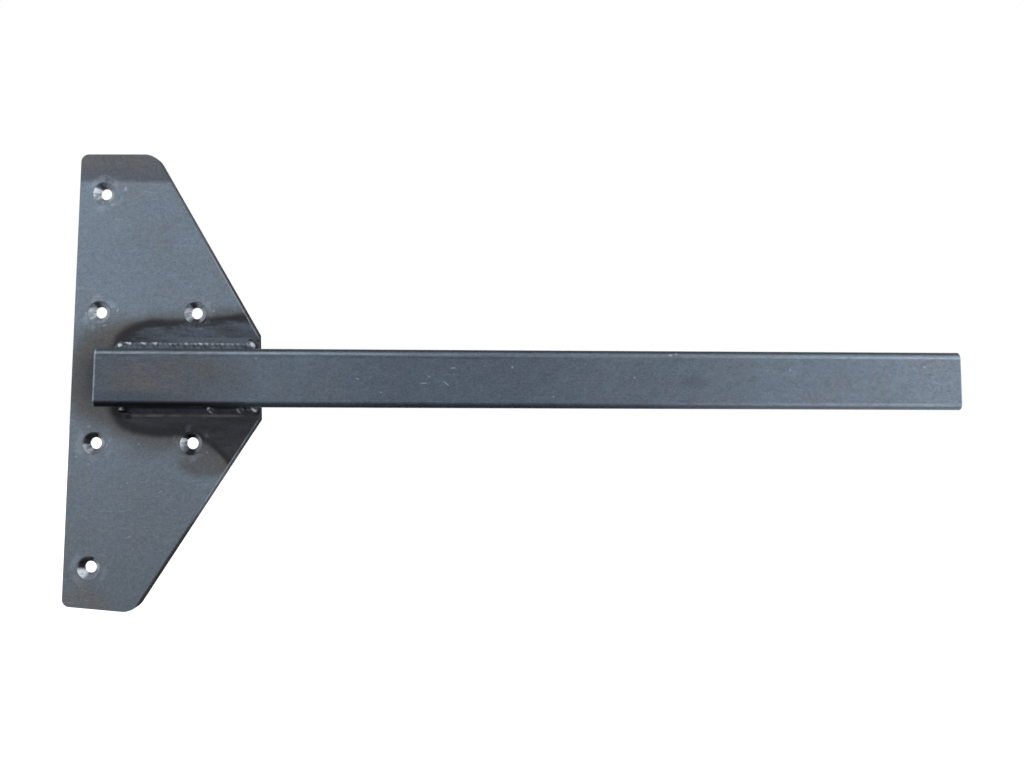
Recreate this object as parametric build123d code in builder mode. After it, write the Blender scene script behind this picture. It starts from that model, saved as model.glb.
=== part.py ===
from build123d import *
import math
import os

# Floating desk bracket: a flat wall plate with one square tube welded flat against its
# front. The plate's back face lies on the wall studs at Y = 0, the tube runs along +X on
# the -Y side, and +Z is up. The origin is on the back face, in the middle of the four
# inner screw holes. All sizes are in millimetres.

# Wall plate. Its ends were cut by eye, so the upper and the lower one differ. Heights run
# from the arm's centreline to the corners on the upright edge.
plate_thickness = 6.35
plate_width = 127.0
upper_height = 154.4
lower_height = 152.2
upper_end_width = 51.1
lower_end_width = 47.8
upper_end_slope = 0.7
lower_end_slope = 5.3
upper_nose_margin = 10.4
lower_nose_margin = 9.3
nose_lean = 2.2
edge_corner_radius = 5.0
slant_corner_radius = 13.0
nose_corner_radius = 2.0
plate_edge_break = 0.4

# Countersunk screw holes
hole_edge_distance = 16.7
column_spacing = 65.2
inner_row_spacing = 88.9
outer_row_spacing = 254.0
hole_diameter = 7.9
countersink_diameter = 15.3
countersink_angle = 82.0

# Square tube
tube_size = 38.1
tube_wall = 3.05
tube_corner_radius = 4.5
tube_inset = 28.7
tube_length = 568.0
tube_edge_break = 0.4

# Weld beads. Shares are of the bead's own leg or of the step from ripple to ripple.
upper_weld_leg = 7.4
lower_weld_leg = 6.0
end_weld_leg = 2.9
weld_set_back = 0.8
upper_ripple_pitch = 3.6
lower_ripple_pitch = 6.2
end_ripple_pitch = 4.8
upper_ripple_height = 0.4
lower_ripple_height = 0.16
end_ripple_height = 0.2
lower_restarts = (9.6, 30.0)
ripple_lean = 33.0
ripple_wander = 0.4
ripple_overlap = 0.75
upright_stops = 3
weld_flatness_share = 0.6
lump_radius_share = 0.72
lump_depth_share = 0.2
end_taper_share = 0.1

# Places worked out from the sizes above
plate_left = -hole_edge_distance - column_spacing / 2
plate_right = plate_left + plate_width
plate_front = Plane.XZ.offset(plate_thickness)
tube_start = plate_left + tube_inset
tube_middle = -(plate_thickness + tube_size / 2)
tube_half = tube_size / 2
bore_size = tube_size - 2 * tube_wall
bore_corner_radius = tube_corner_radius - tube_wall


# The plate is cut from flat stock. Its back edge is upright, its two ends slope outwards,
# and two long slants run in to the short nose that the tube crosses.
upper_end_rise = upper_end_width * math.tan(math.radians(upper_end_slope))
lower_end_rise = lower_end_width * math.tan(math.radians(lower_end_slope))
upper_nose_height = tube_half + upper_nose_margin
lower_nose_height = tube_half + lower_nose_margin
nose_run = math.tan(math.radians(nose_lean))
outline = [
    (plate_left, upper_height),
    (plate_left + upper_end_width, upper_height + upper_end_rise),
    (plate_right - nose_run * upper_nose_height, upper_nose_height),
    (plate_right + nose_run * lower_nose_height, -lower_nose_height),
    (plate_left + lower_end_width, -lower_height - lower_end_rise),
    (plate_left, -lower_height),
]

with BuildPart() as mounting_plate:
    with BuildSketch(Plane.XZ) as blank:
        with BuildLine():
            Polyline(*outline, close=True)
        make_face()
        corners = blank.vertices().sort_by(Axis.X)
        fillet(corners[:2], edge_corner_radius)
        corners = blank.vertices().filter_by_position(
            Axis.X,
            plate_left + min(upper_end_width, lower_end_width) - 1,
            plate_left + max(upper_end_width, lower_end_width) + 1,
        )
        fillet(corners, slant_corner_radius)
        fillet(blank.vertices().sort_by(Axis.X)[-2:], nose_corner_radius)
    extrude(amount=plate_thickness)
    sides = mounting_plate.faces().sort_by(Axis.Y)
    for side in (sides[0], sides[-1]):
        chamfer(side.outer_wire().edges(), plate_edge_break)
    with Locations(plate_front):
        with GridLocations(column_spacing, inner_row_spacing, 2, 2):
            CounterSinkHole(hole_diameter / 2, countersink_diameter / 2, None, countersink_angle)
        with Locations((-column_spacing / 2, 0)):
            with GridLocations(column_spacing, outer_row_spacing, 1, 2):
                CounterSinkHole(hole_diameter / 2, countersink_diameter / 2, None, countersink_angle)


# The arm is a length of square tube with both ends open, seated flat on the plate.
with BuildPart() as arm_tube:
    with BuildSketch(Plane.YZ.offset(tube_start)):
        with Locations((tube_middle, 0)):
            RectangleRounded(tube_size, tube_size, tube_corner_radius)
            RectangleRounded(bore_size, bore_size, bore_corner_radius, mode=Mode.SUBTRACT)
    extrude(amount=tube_length)
    ends = arm_tube.faces().sort_by(Axis.X)
    for end in (ends[0], ends[-1]):
        chamfer(end.outer_wire().edges(), tube_edge_break)


# What the weld metal can't enter: the plate and the tube with its bore.
with BuildPart() as weld_seat:
    with BuildSketch(Plane.YZ.offset(tube_start)):
        with Locations((tube_middle, 0)):
            RectangleRounded(tube_size, tube_size, tube_corner_radius)
    extrude(amount=tube_length)
    with BuildSketch(plate_front):
        with Locations((plate_left + plate_width / 2, 0)):
            Rectangle(2 * plate_width, upper_height + lower_height)
    extrude(amount=-(plate_thickness + tube_size))


def rippled_bead(seat, length, leg, pitch, height, restarts=()):
    """A fillet weld along the seat's X axis, in the corner where its Y and Z axes meet.

    The torch dwells once for each ripple, and each dwell leaves a disc of metal with a
    ridged rim. The discs run into each other and lean over along the run. A round lump
    stands where the torch starts, stops and restarts. Each piece is cut to its seat.
    """
    sink = weld_flatness_share * leg
    radius = math.hypot(leg + sink, sink)
    lump_radius = lump_radius_share * leg
    lump_depth = lump_depth_share * leg
    stops = round((length - 2 * lump_radius) / pitch)
    step = (length - 2 * lump_radius) / stops
    pieces = []
    for stop in range(stops):
        from_end = min(stop, stops - 1 - stop)
        lean = math.radians(ripple_lean * min(1, (from_end + 0.5) / upright_stops))
        along = lump_radius + (stop + 0.5) * step + math.tan(lean) * (sink + leg / 2)
        taper = end_taper_share * leg * max(0, 1 - from_end / 2)
        rim = radius - taper + ripple_wander * height * math.sin(2.3 * stop)
        half_width = ripple_overlap * step * math.cos(lean)
        drop = 2 * ripple_overlap * height
        upright = Plane(
            origin=(along, -sink, -sink),
            x_dir=(math.cos(lean), math.sin(lean), 0),
            z_dir=(math.sin(lean), -math.cos(lean), 0),
        )
        disc = Plane(seat.location * upright.location)
        with BuildPart() as ripple:
            with BuildSketch(disc):
                with BuildLine():
                    Polyline(
                        (-half_width, 0),
                        (-half_width, rim - drop),
                        (0, rim),
                        (half_width, rim - drop),
                        (half_width, 0),
                        close=True,
                    )
                make_face()
            revolve(axis=Axis(disc.origin, disc.x_dir))
            add(weld_seat.part, mode=Mode.SUBTRACT)
        pieces.append(ripple.part)
    for along in (lump_radius, *restarts, length - lump_radius):
        with BuildPart() as lump:
            with Locations(seat.location * Location((along, lump_depth, lump_depth))):
                Sphere(lump_radius)
            add(weld_seat.part, mode=Mode.SUBTRACT)
        pieces.append(lump.part)
    return pieces


bead_start = tube_start + weld_set_back
upper_bead_end = plate_right - nose_run * upper_nose_height - weld_set_back
lower_bead_end = plate_right + nose_run * tube_half - weld_set_back

# The long bead above the tube, laid from its inner end out to the nose.
upper_seat = Plane((bead_start, -plate_thickness, tube_half), x_dir=(1, 0, 0), z_dir=(0, -1, 0))
with BuildPart() as upper_weld:
    add(
        rippled_bead(
            upper_seat,
            upper_bead_end - bead_start,
            upper_weld_leg,
            upper_ripple_pitch,
            upper_ripple_height,
        )
    )

# The bead below the tube, laid from the nose back to the inner end, hotter and smoother,
# with two restarts.
lower_seat = Plane(
    (lower_bead_end, -plate_thickness, -tube_half), x_dir=(-1, 0, 0), z_dir=(0, -1, 0)
)
with BuildPart() as lower_weld:
    add(
        rippled_bead(
            lower_seat,
            lower_bead_end - bead_start,
            lower_weld_leg,
            lower_ripple_pitch,
            lower_ripple_height,
            lower_restarts,
        )
    )

# The short bead across the tube's inner end. Its leg is no more than the tube's wall, so
# it stays clear of the bore.
end_bead_length = tube_size - 2 * tube_corner_radius
end_seat = Plane(
    (tube_start, -plate_thickness, -end_bead_length / 2), x_dir=(0, 0, 1), z_dir=(0, -1, 0)
)
with BuildPart() as end_weld:
    add(
        rippled_bead(
            end_seat, end_bead_length, end_weld_leg, end_ripple_pitch, end_ripple_height
        )
    )


mounting_plate.part.label = "mounting_plate"
arm_tube.part.label = "arm_tube"
upper_weld.part.label = "upper_weld"
lower_weld.part.label = "lower_weld"
end_weld.part.label = "end_weld"

os.makedirs("parts", exist_ok=True)
export_step(mounting_plate.part, "parts/mounting_plate.step")
export_step(arm_tube.part, "parts/arm_tube.step")
export_step(upper_weld.part, "parts/upper_weld.step")
export_step(lower_weld.part, "parts/lower_weld.step")
export_step(end_weld.part, "parts/end_weld.step")
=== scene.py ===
import math
import random

import bmesh
import bpy
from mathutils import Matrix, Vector


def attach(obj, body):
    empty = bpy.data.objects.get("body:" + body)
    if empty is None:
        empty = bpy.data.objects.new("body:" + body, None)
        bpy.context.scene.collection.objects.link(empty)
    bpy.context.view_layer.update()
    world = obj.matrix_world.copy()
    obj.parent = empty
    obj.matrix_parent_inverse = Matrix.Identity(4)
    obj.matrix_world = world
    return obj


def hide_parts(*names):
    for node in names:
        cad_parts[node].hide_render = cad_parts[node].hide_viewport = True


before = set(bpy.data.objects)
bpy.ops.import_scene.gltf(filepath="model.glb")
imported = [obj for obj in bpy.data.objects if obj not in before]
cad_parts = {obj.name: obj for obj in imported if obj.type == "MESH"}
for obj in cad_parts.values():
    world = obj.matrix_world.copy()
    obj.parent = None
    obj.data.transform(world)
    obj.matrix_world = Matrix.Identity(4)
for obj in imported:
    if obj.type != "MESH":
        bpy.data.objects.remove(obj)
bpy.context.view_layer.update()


# The studio: a pale floor well below the bracket, which hangs as it does on a wall, a white
# surround, three soft lamps in front, and two dark cards that only reflections show.
def feed(tree, node, inputs):
    """Sets each named socket to its value, or links it where the value is an output."""
    for name, value in inputs.items():
        if isinstance(value, bpy.types.NodeSocket):
            tree.links.new(value, node.inputs[name])
        else:
            node.inputs[name].default_value = value


def place(tree, kind, inputs=None, **settings):
    """Adds one shader node and feeds it."""
    node = tree.nodes.new("ShaderNode" + kind)
    for name, value in settings.items():
        setattr(node, name, value)
    feed(tree, node, inputs or {})
    return node


def reckon(tree, operation, first, second=0.0, third=0.0, clamp=False):
    """Adds one Math node and returns its output."""
    node = place(
        tree, "Math", {0: first, 1: second, 2: third}, operation=operation, use_clamp=clamp
    )
    return node.outputs[0]


def times(tree, *factors):
    """Multiplies numbers and outputs together."""
    product = factors[0]
    for factor in factors[1:]:
        product = reckon(tree, "MULTIPLY", product, factor)
    return product


def fade(tree, value, start, end, low=0.0, high=1.0):
    """Returns low before start and high after end, with a smooth step between."""
    node = place(
        tree,
        "MapRange",
        {"Value": value, "From Min": start, "From Max": end, "To Min": low, "To Max": high},
        interpolation_type="SMOOTHSTEP",
    )
    return node.outputs["Result"]


def seen_straight(tree):
    """Returns 1 for rays from the camera, off polished metal and through glass."""
    path = place(tree, "LightPath")
    seen = reckon(tree, "ADD", path.outputs["Is Camera Ray"], path.outputs["Is Glossy Ray"])
    return reckon(tree, "ADD", seen, path.outputs["Is Transmission Ray"], clamp=True)


bpy.ops.object.select_all(action="DESELECT")
bpy.ops.object.camera_add(
    location=(0.22604, -0.69907, -0.00327),
    rotation=[math.radians(angle) for angle in (95.2526, -0.2667, -2.0257)],
)
camera = bpy.context.object
camera.name = "camera"
camera.data.lens = 35.156
camera.data.sensor_width = 36.0
camera.data.shift_y = -0.0895
camera.data.clip_start = 0.01
bpy.context.scene.camera = camera
bpy.context.scene.view_settings.view_transform = "Standard"

surround = bpy.data.worlds.new("surround")
bpy.context.scene.world = surround
surround.use_nodes = True
tree = surround.node_tree
tree.nodes.clear()
room_light = place(tree, "Background", {"Color": (0.93, 0.96, 1.0, 1.0), "Strength": 0.5})
white_paper = place(tree, "Background", {"Color": (1.0, 1.0, 1.0, 1.0), "Strength": 1.0})
surround_mix = place(
    tree,
    "MixShader",
    {0: seen_straight(tree), 1: room_light.outputs[0], 2: white_paper.outputs[0]},
)
place(tree, "OutputWorld", {"Surface": surround_mix.outputs[0]})

bpy.ops.object.select_all(action="DESELECT")
bpy.ops.mesh.primitive_plane_add(size=24.0, location=(0.25, 0.0, -0.6))
floor = bpy.context.object
floor.name = "floor"
floor_paper = bpy.data.materials.new("floor_paper")
floor_paper.use_nodes = True
tree = floor_paper.node_tree
tree.nodes.clear()
spot = place(tree, "TexCoord").outputs["Object"]
flat_spot = place(tree, "VectorMath", {0: spot, 1: (1.0, 1.0, 0.0)}, operation="MULTIPLY")
from_middle = place(tree, "VectorMath", {0: flat_spot.outputs[0]}, operation="LENGTH")
glow = times(
    tree, seen_straight(tree), fade(tree, from_middle.outputs["Value"], 0.35, 1.1, 0.25, 1.0)
)
paper = place(tree, "BsdfDiffuse", {"Color": (0.8, 0.8, 0.8, 1.0)})
paper_glow = place(tree, "Emission", {"Color": (1.0, 1.0, 1.0, 1.0), "Strength": glow})
paper_sum = place(tree, "AddShader", {0: paper.outputs[0], 1: paper_glow.outputs[0]})
place(tree, "OutputMaterial", {"Surface": paper_sum.outputs[0]})
floor.data.materials.append(floor_paper)

for lamp_name, spot, aim, size, power in (
    ("lamp_right", (1.5, -1.5, 0.7), (0.25, 0.0, 0.0), (1.2, 1.2), 11.0),
    ("lamp_left", (-1.2, -1.3, 0.6), (0.0, 0.0, 0.0), (0.9, 1.2), 6.0),
    ("lamp_above", (0.25, -0.85, 1.1), (0.25, 0.0, 0.0), (1.8, 0.7), 7.0),
):
    bpy.ops.object.select_all(action="DESELECT")
    turn = (Vector(aim) - Vector(spot)).to_track_quat("-Z", "Y").to_euler()
    bpy.ops.object.light_add(type="AREA", location=spot, rotation=turn)
    lamp = bpy.context.object
    lamp.name = lamp_name
    lamp.data.shape = "RECTANGLE"
    lamp.data.size, lamp.data.size_y = size
    lamp.data.energy = power

dark_card = bpy.data.materials.new("dark_card")
dark_card.use_nodes = True
dark_shader = dark_card.node_tree.nodes["Principled BSDF"]
dark_shader.inputs["Base Color"].default_value = (0.01, 0.01, 0.012, 1.0)
for card_name, spot, size in (
    ("card_below", (-0.2, -0.35, -0.45), (1.3, 1.7)),
    ("card_above", (0.25, 0.3, 1.0), (1.9, 1.4)),
):
    bpy.ops.object.select_all(action="DESELECT")
    bpy.ops.mesh.primitive_plane_add(size=1.0, location=spot)
    card = bpy.context.object
    card.name = card_name
    card.scale = (*size, 1.0)
    card.data.materials.append(dark_card)
    card.visible_camera = False
    card.visible_diffuse = False
    card.visible_shadow = False


# The wall plate: 1/4 inch hot-rolled flat steel, cut to outline, its rims broken with a
# file, with six screw holes countersunk in a drill press. The mill scale is left on it, and
# the welding has blued and browned it round the arm.
plate_thickness = 0.00635
plate_front = -0.0064
# The outline's corners, each with its radius.
plate_corners = [
    (-0.0493, 0.1544, 0.005),
    (0.0018, 0.155024, 0.013),
    (0.076569, 0.02945, 0.002),
    (0.078789, -0.02835, 0.002),
    (-0.0015, -0.156634, 0.013),
    (-0.0493, -0.1522, 0.005),
]
hole_radius = 0.00395
sink_radius = 0.00765
sink_depth = (sink_radius - hole_radius) / math.tan(math.radians(41.0))
sink_rim = 0.009
hole_column = 0.0326
inner_row = 0.04445
outer_row = 0.127
hole_places = [(x, z) for x in (-hole_column, hole_column) for z in (-inner_row, inner_row)]
hole_places += [(-hole_column, -outer_row), (-hole_column, outer_row)]


def paint(red, green, blue):
    """Turns a colour of 0 to 255 a channel, as a screen shows it, into shader values."""
    shares = [channel / 255 for channel in (red, green, blue)]
    return (*[s / 12.92 if s < 0.04045 else ((s + 0.055) / 1.055) ** 2.4 for s in shares], 1.0)


def pick(piece, kind, test):
    """In edit mode, selects each vertex, edge or face whose middle passes the test."""
    bpy.ops.mesh.select_mode(type=kind)
    bpy.ops.mesh.select_all(action="DESELECT")
    shape = bmesh.from_edit_mesh(piece.data)
    for part in {"VERT": shape.verts, "EDGE": shape.edges, "FACE": shape.faces}[kind]:
        corners = [part] if kind == "VERT" else list(part.verts)
        middle = sum((corner.co for corner in corners), Vector()) / len(corners)
        part.select_set(bool(test(middle, part)))
    shape.select_flush_mode()
    bmesh.update_edit_mesh(piece.data)


def select_only(piece):
    """Selects one piece, so that the next operator acts on it alone."""
    bpy.ops.object.select_all(action="DESELECT")
    piece.select_set(True)
    bpy.context.view_layer.objects.active = piece


def finish_with(piece, kind, **settings):
    """Adds one modifier to a piece and applies it."""
    select_only(piece)
    modifier = piece.modifiers.new(kind.lower(), kind)
    for name, value in settings.items():
        setattr(modifier, name, value)
    bpy.ops.object.modifier_apply(modifier=modifier.name)


bpy.ops.object.select_all(action="DESELECT")
bpy.ops.mesh.primitive_circle_add(
    vertices=6, radius=0.1, fill_type="NGON", rotation=(math.pi / 2, 0.0, 0.0)
)
plate = bpy.context.object
plate.name = "wall_plate"
bpy.ops.object.transform_apply(location=True, rotation=True, scale=True)
starts = [vertex.co.copy() for vertex in plate.data.vertices]
ring = sorted(starts, key=lambda start: math.atan2(start.z, start.x) % math.tau)
aims = sorted(plate_corners, key=lambda aim: math.atan2(aim[1], aim[0] - 0.01) % math.tau)
bpy.ops.object.mode_set(mode="EDIT")
for start, (aim_x, aim_z, radius) in zip(ring, aims):
    pick(plate, "VERT", lambda middle, vertex: (middle - start).length < 1e-6)
    bpy.ops.transform.translate(value=(aim_x - start.x, 0.0, aim_z - start.z))
for number, (corner_x, corner_z, radius) in enumerate(aims):
    here = Vector((corner_x, corner_z))
    before = here - Vector(aims[number - 1][:2])
    after = Vector(aims[(number + 1) % 6][:2]) - here
    trim = radius * math.tan(abs(before.angle_signed(after)) / 2)
    pick(
        plate,
        "VERT",
        lambda middle, vertex: math.hypot(middle.x - corner_x, middle.z - corner_z) < 1e-5,
    )
    bpy.ops.mesh.bevel(
        offset=trim, segments=max(4, round(radius * 900)), affect="VERTICES", clamp_overlap=False
    )
bpy.ops.mesh.select_all(action="SELECT")
bpy.ops.mesh.extrude_region_move(TRANSFORM_OT_translate={"value": (0.0, -plate_thickness, 0.0)})
bpy.ops.mesh.select_all(action="SELECT")
bpy.ops.mesh.normals_make_consistent(inside=False)
pick(plate, "EDGE", lambda middle, edge: abs(edge.verts[0].co.y - edge.verts[1].co.y) < 1e-6)
bpy.ops.mesh.bevel(offset=0.0004, segments=2, affect="EDGES")
bpy.ops.object.mode_set(mode="OBJECT")

# One cutter has the hole's shape: the bore, the 82 degree sink and a rim that is rubbed
# round. It is copied to the six places and taken out of the plate.
cutters = []
for hole_x, hole_z in hole_places:
    bpy.ops.object.select_all(action="DESELECT")
    bpy.ops.mesh.primitive_circle_add(
        vertices=72,
        radius=hole_radius,
        location=(hole_x, 0.002, hole_z),
        rotation=(math.pi / 2, 0.0, 0.0),
    )
    cutter = bpy.context.object
    bpy.ops.object.transform_apply(location=True, rotation=True, scale=True)
    bpy.ops.object.mode_set(mode="EDIT")
    bpy.ops.mesh.select_all(action="SELECT")
    ring_y, ring_radius = 0.002, hole_radius
    for next_y, next_radius in (
        (-plate_thickness + sink_depth + 0.00002, hole_radius),
        (-plate_thickness + sink_depth - 0.0001, hole_radius + 0.0001),
        (-plate_thickness + 0.00022, sink_radius - 0.00019),
        (-plate_thickness + 0.00006, sink_radius + 0.00002),
        (-plate_thickness - 0.00004, sink_radius + 0.00022),
        (-plate_thickness - 0.002, sink_radius + 0.00022),
    ):
        bpy.ops.mesh.extrude_region_move(
            TRANSFORM_OT_translate={"value": (0.0, next_y - ring_y, 0.0)}
        )
        bpy.ops.transform.resize(
            value=[next_radius / ring_radius] * 3, center_override=(hole_x, next_y, hole_z)
        )
        ring_y, ring_radius = next_y, next_radius
    bpy.ops.mesh.select_all(action="SELECT")
    bpy.ops.mesh.select_non_manifold()
    bpy.ops.mesh.fill_holes(sides=0)
    bpy.ops.mesh.select_all(action="SELECT")
    bpy.ops.mesh.fill_holes(sides=0)
    bpy.ops.mesh.normals_make_consistent(inside=False)
    bpy.ops.object.mode_set(mode="OBJECT")
    cutters.append(cutter)
for cutter in cutters:
    finish_with(plate, "BOOLEAN", operation="DIFFERENCE", solver="EXACT", object=cutter)
    bpy.data.objects.remove(cutter)


def give_materials(piece, *names):
    """Adds one new material for each name to a piece, and returns them."""
    for name in names:
        material = bpy.data.materials.new(name)
        material.use_nodes = True
        piece.data.materials.append(material)
    return list(piece.data.materials)


mill_plate, cut_side, bored_steel = give_materials(plate, "mill_plate", "cut_side", "bored_steel")
on_scale, on_side, in_sink = 0, 1, 2
for side in plate.data.polygons:
    near_hole = min(math.hypot(side.center.x - x, side.center.z - z) for x, z in hole_places)
    side.material_index = on_scale
    if abs(side.normal.y) < 0.97 and near_hole < sink_radius - 0.0001:
        side.material_index = in_sink
    elif abs(side.normal.y) < 0.2 and near_hole > sink_rim:
        side.material_index = on_side
select_only(plate)
bpy.ops.object.shade_smooth_by_angle(angle=math.radians(20.0))
finish_with(plate, "WEIGHTED_NORMAL", keep_sharp=True)


def named_group(name, inputs, outputs):
    """Starts a shader node group with named sockets and returns its tree and both ends."""
    group = bpy.data.node_groups.new(name, "ShaderNodeTree")
    for socket_name, kind, value in inputs:
        socket = group.interface.new_socket(
            name=socket_name, in_out="INPUT", socket_type="NodeSocket" + kind
        )
        socket.default_value = value
    for socket_name, kind in outputs:
        group.interface.new_socket(
            name=socket_name, in_out="OUTPUT", socket_type="NodeSocket" + kind
        )
    return group, group.nodes.new("NodeGroupInput"), group.nodes.new("NodeGroupOutput")


def put_group(tree, group, inputs):
    """Places a node group in a material with its own values."""
    node = tree.nodes.new("ShaderNodeGroup")
    node.node_tree = group
    feed(tree, node, inputs)
    return node


def cloud(tree, spot, scale, detail=2.0, roughness=0.5, stretch=(1.0, 1.0, 1.0), shift=0.0):
    """Returns a noise value of 0 to 1 about 0.5. scale counts spots in a metre."""
    moved = place(tree, "Mapping", {"Vector": spot, "Scale": stretch, "Location": [shift] * 3})
    noise = place(
        tree,
        "TexNoise",
        {"Vector": moved.outputs[0], "Scale": scale, "Detail": detail, "Roughness": roughness},
    )
    return noise.outputs["Fac"]


def blend(tree, share, first, second, mode="MIX"):
    """Mixes two colours by a share and returns the colour."""
    node = place(
        tree, "MixRGB", {"Fac": share, "Color1": first, "Color2": second}, blend_type=mode
    )
    return node.outputs[0]


def off_middle(tree, value, weight, total=0.0):
    """Adds a noise value's distance from one half, times a weight, to a total."""
    return reckon(tree, "MULTIPLY_ADD", reckon(tree, "SUBTRACT", value, 0.5), weight, total)


def oval(tree, spot, middle, sizes, tilt=0.0):
    """Returns 0 in the middle of an oval and 1 on its rim, for its half sizes and tilt."""
    turned = {"Rotation": (0.0, math.radians(tilt), 0.0)}
    moved = place(
        tree,
        "Mapping",
        {"Vector": spot, "Location": middle, "Scale": sizes, **turned},
        vector_type="TEXTURE",
    )
    away = place(tree, "VectorMath", {0: moved.outputs[0]}, operation="LENGTH")
    return away.outputs["Value"]


def dabs(tree, spot, level, half_depth, rows):
    """Returns a mask of small soft ovals at one level, as marks on a face have.

    A row holds the middle's x and z, both half sizes, the tilt, and a strength if it isn't 1.
    """
    mask = None
    for x, z, half_long, half_wide, tilt, *strength in rows:
        away = oval(tree, spot, (x, level, z), (half_long, half_depth, half_wide), tilt)
        one = fade(tree, away, 1.0, 0.3, 0.0, *(strength or [1.0]))
        mask = one if mask is None else reckon(tree, "MAXIMUM", mask, one)
    return mask


def above_zero(tree, value):
    """Returns a value, or 0 where it is less."""
    return reckon(tree, "MAXIMUM", value, 0.0)


def far(tree, first, second):
    """Returns the length of two distances at right angles."""
    squares = reckon(tree, "MULTIPLY_ADD", first, first, times(tree, second, second))
    return reckon(tree, "SQRT", squares)


def band(tree, value, start, full, last, end):
    """Returns 1 from full to last and 0 before start and after end, with soft sides."""
    return times(tree, fade(tree, value, start, full), fade(tree, value, end, last))


def open_material(material):
    """Returns a material's tree and shader, the place on its object, and that place's axes."""
    tree = material.node_tree
    spot = place(tree, "TexCoord").outputs["Object"]
    axes = place(tree, "SeparateXYZ", {0: spot})
    return tree, tree.nodes["Principled BSDF"], spot, *axes.outputs


def coat(tree, shader, colour, roughness, metallic, height, strength, depth):
    """Feeds a finished colour, its gloss and its relief to the shader."""
    bump = place(tree, "Bump", {"Height": height, "Strength": strength, "Distance": depth})
    finish = {"Roughness": roughness, "Metallic": metallic, "Normal": bump.outputs[0]}
    feed(tree, shader, {"Base Color": colour, **finish})


# Mill scale: a thin hard oxide that rolling leaves on steel, mottled and finely pitted.
mill_scale, asked, given = named_group(
    "mill_scale",
    [
        ("Spot", "Vector", (0.0, 0.0, 0.0)),
        ("Tone", "Color", (0.2, 0.2, 0.2, 1.0)),
        ("Contrast", "Float", 0.5),
        ("Stretch", "Vector", (1.0, 1.0, 1.0)),
        ("Gloss", "Float", 0.42),
    ],
    [("Color", "Color"), ("Roughness", "Float"), ("Height", "Float")],
)
spot = asked.outputs["Spot"]
rolled = place(
    mill_scale, "VectorMath", {0: spot, 1: asked.outputs["Stretch"]}, operation="MULTIPLY"
).outputs[0]
wide = cloud(mill_scale, spot, 14.0, 2.0)
medium = cloud(mill_scale, rolled, 95.0, 3.0, 0.55)
mottle = cloud(mill_scale, rolled, 300.0, 3.0, 0.6, shift=2.0)
grain = cloud(mill_scale, rolled, 760.0, 3.0, 0.65, shift=5.0)
tone = off_middle(mill_scale, wide, 0.5)
tone = off_middle(mill_scale, medium, 0.5, tone)
tone = off_middle(mill_scale, mottle, 0.9, tone)
tone = off_middle(mill_scale, grain, 2.2, tone)
# Fine wavy rubs that run mostly level, in patches.
wander = place(mill_scale, "TexNoise", {"Vector": spot, "Scale": 55.0, "Detail": 1.0})
bent = place(
    mill_scale,
    "VectorMath",
    {0: wander.outputs["Color"], 1: (0.006, 0.006, 0.006), 2: rolled},
    operation="MULTIPLY_ADD",
).outputs[0]
rubs = fade(mill_scale, cloud(mill_scale, bent, 700.0, 2.0, 0.5, (0.14, 1.0, 1.0)), 0.56, 0.7)
rub_patch = fade(mill_scale, cloud(mill_scale, spot, 30.0, 2.0, shift=6.0), 0.42, 0.62)
tone = reckon(mill_scale, "MULTIPLY_ADD", times(mill_scale, rubs, rub_patch), 0.4, tone)
# Small bright nicks and dark pits.
cells = place(mill_scale, "TexVoronoi", {"Vector": rolled, "Scale": 75.0})
chance = place(mill_scale, "SeparateXYZ", {0: cells.outputs["Color"]})
nick_size = fade(mill_scale, chance.outputs["X"], 0.72, 1.0, 0.0, 0.06)
nicks = reckon(mill_scale, "LESS_THAN", cells.outputs["Distance"], nick_size)
pit_size = fade(mill_scale, chance.outputs["Y"], 0.7, 1.0, 0.0, 0.07)
pits = reckon(mill_scale, "LESS_THAN", cells.outputs["Distance"], pit_size)
tone = reckon(mill_scale, "MULTIPLY_ADD", nicks, 1.5, tone)
tone = reckon(mill_scale, "MULTIPLY_ADD", pits, -0.9, tone)
lightness = reckon(
    mill_scale,
    "MAXIMUM",
    reckon(mill_scale, "MULTIPLY_ADD", tone, asked.outputs["Contrast"], 1.0),
    0.35,
)
# Patches where the scale is thinner and looks warmer.
warm_patch = fade(mill_scale, cloud(mill_scale, spot, 42.0, 3.0, 0.6, shift=9.0), 0.42, 0.66)
warmth = blend(mill_scale, warm_patch, (1.0, 1.0, 1.0, 1.0), (1.02, 0.975, 0.94, 1.0))
scale_colour = place(
    mill_scale, "VectorMath", {0: asked.outputs["Tone"], 1: warmth}, operation="MULTIPLY"
).outputs[0]
scale_colour = place(
    mill_scale, "VectorMath", {0: scale_colour, "Scale": lightness}, operation="SCALE"
).outputs[0]
mill_scale.links.new(scale_colour, given.inputs["Color"])
gloss = off_middle(mill_scale, medium, 0.2, asked.outputs["Gloss"])
gloss = off_middle(mill_scale, grain, 0.15, gloss)
mill_scale.links.new(gloss, given.inputs["Roughness"])
height = reckon(mill_scale, "MULTIPLY_ADD", grain, 0.6, times(mill_scale, mottle, 0.8))
height = reckon(mill_scale, "MULTIPLY_ADD", pits, -1.0, height)
mill_scale.links.new(height, given.inputs["Height"])

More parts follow.
